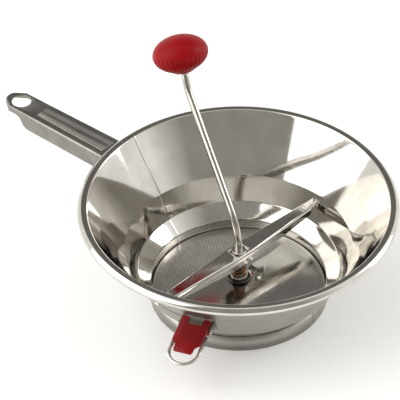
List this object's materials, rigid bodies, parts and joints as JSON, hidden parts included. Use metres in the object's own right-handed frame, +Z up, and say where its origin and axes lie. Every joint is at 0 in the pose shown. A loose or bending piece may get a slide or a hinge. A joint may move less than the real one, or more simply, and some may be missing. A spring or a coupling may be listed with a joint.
{
  "type": "rotary food mill",
  "caption": "Hand-cranked food mill: conical steel bowl with a long handle, perforated disc, sprung blade under a crossbar, crank with a red knob and a latch lever",
  "frame": {"origin": "on the bowl's axis, in the plane of the base ring's lower edge", "axes": "+Z up along the bowl's axis, the handle points along -X"},
  "size_m": [0.3535, 0.2419, 0.1717],
  "materials": {
    "bowl_steel": "polished inside, satin outside",
    "handle_steel": "satin",
    "rivet_steel": "satin",
    "grate_steel": "satin",
    "bar_steel": "polished",
    "blade_steel": "polished",
    "bright_steel": "bright",
    "dark_steel": "blackened",
    "spring_bronze": "oiled",
    "red_plastic": "gloss",
    "red_paint": "gloss"
  },
  "bodies": {
    "mill": {"bowl": "bowl_steel", "base_ring": "bowl_steel", "handle": "handle_steel", "handle_saddle": "handle_steel", "bar_anchor": "handle_steel", "latch_bracket": "handle_steel", "bracket_rivets": "rivet_steel", "latch_pin": "rivet_steel", "latch_spring": "rivet_steel", "grate": "grate_steel", "crossbar": "bar_steel", "bar_bushing": "bright_steel"},
    "crank": {"crank_rod": "bright_steel", "upper_washer": "bright_steel", "drive_pin": "bright_steel", "knob_stop": "bright_steel"},
    "blade": {"blade": "blade_steel", "blade_hub": "dark_steel", "spring": "spring_bronze", "spring_collar": "bright_steel", "thrust_washers": "dark_steel"},
    "knob": {"knob": "red_plastic", "knob_sleeve": "bright_steel"},
    "latch": {"latch_lever": "red_paint", "latch_loop": "bright_steel", "latch_jaw": "handle_steel"}
  },
  "joints": [
    {"name": "crank_spin", "type": "hinge", "parent": "mill", "child": "crank", "pos_m": [0, 0, 0.04], "axis": [0, 0, 1], "continuous": true},
    {"name": "blade_float", "type": "slide", "parent": "crank", "child": "blade", "axis": [0, 0, 1], "range_m": [0, 0.003], "stiffness_N_per_m": 1200, "springref_m": -0.008, "deforming": ["spring"]},
    {"name": "knob_spin", "type": "hinge", "parent": "crank", "child": "knob", "pos_m": [-0.09277, 0.04385, 0.15568], "axis": [-0.4111, 0.1943, 0.8906], "continuous": true},
    {"name": "latch_swing", "type": "hinge", "parent": "mill", "child": "latch", "pos_m": [0.03091, -0.0868, 0.0406], "axis": [0.9421, 0.3355, 0], "range_deg": [0, 20], "stiffness_Nm_per_rad": 0.2, "springref_deg": -22.92}
  ]
}
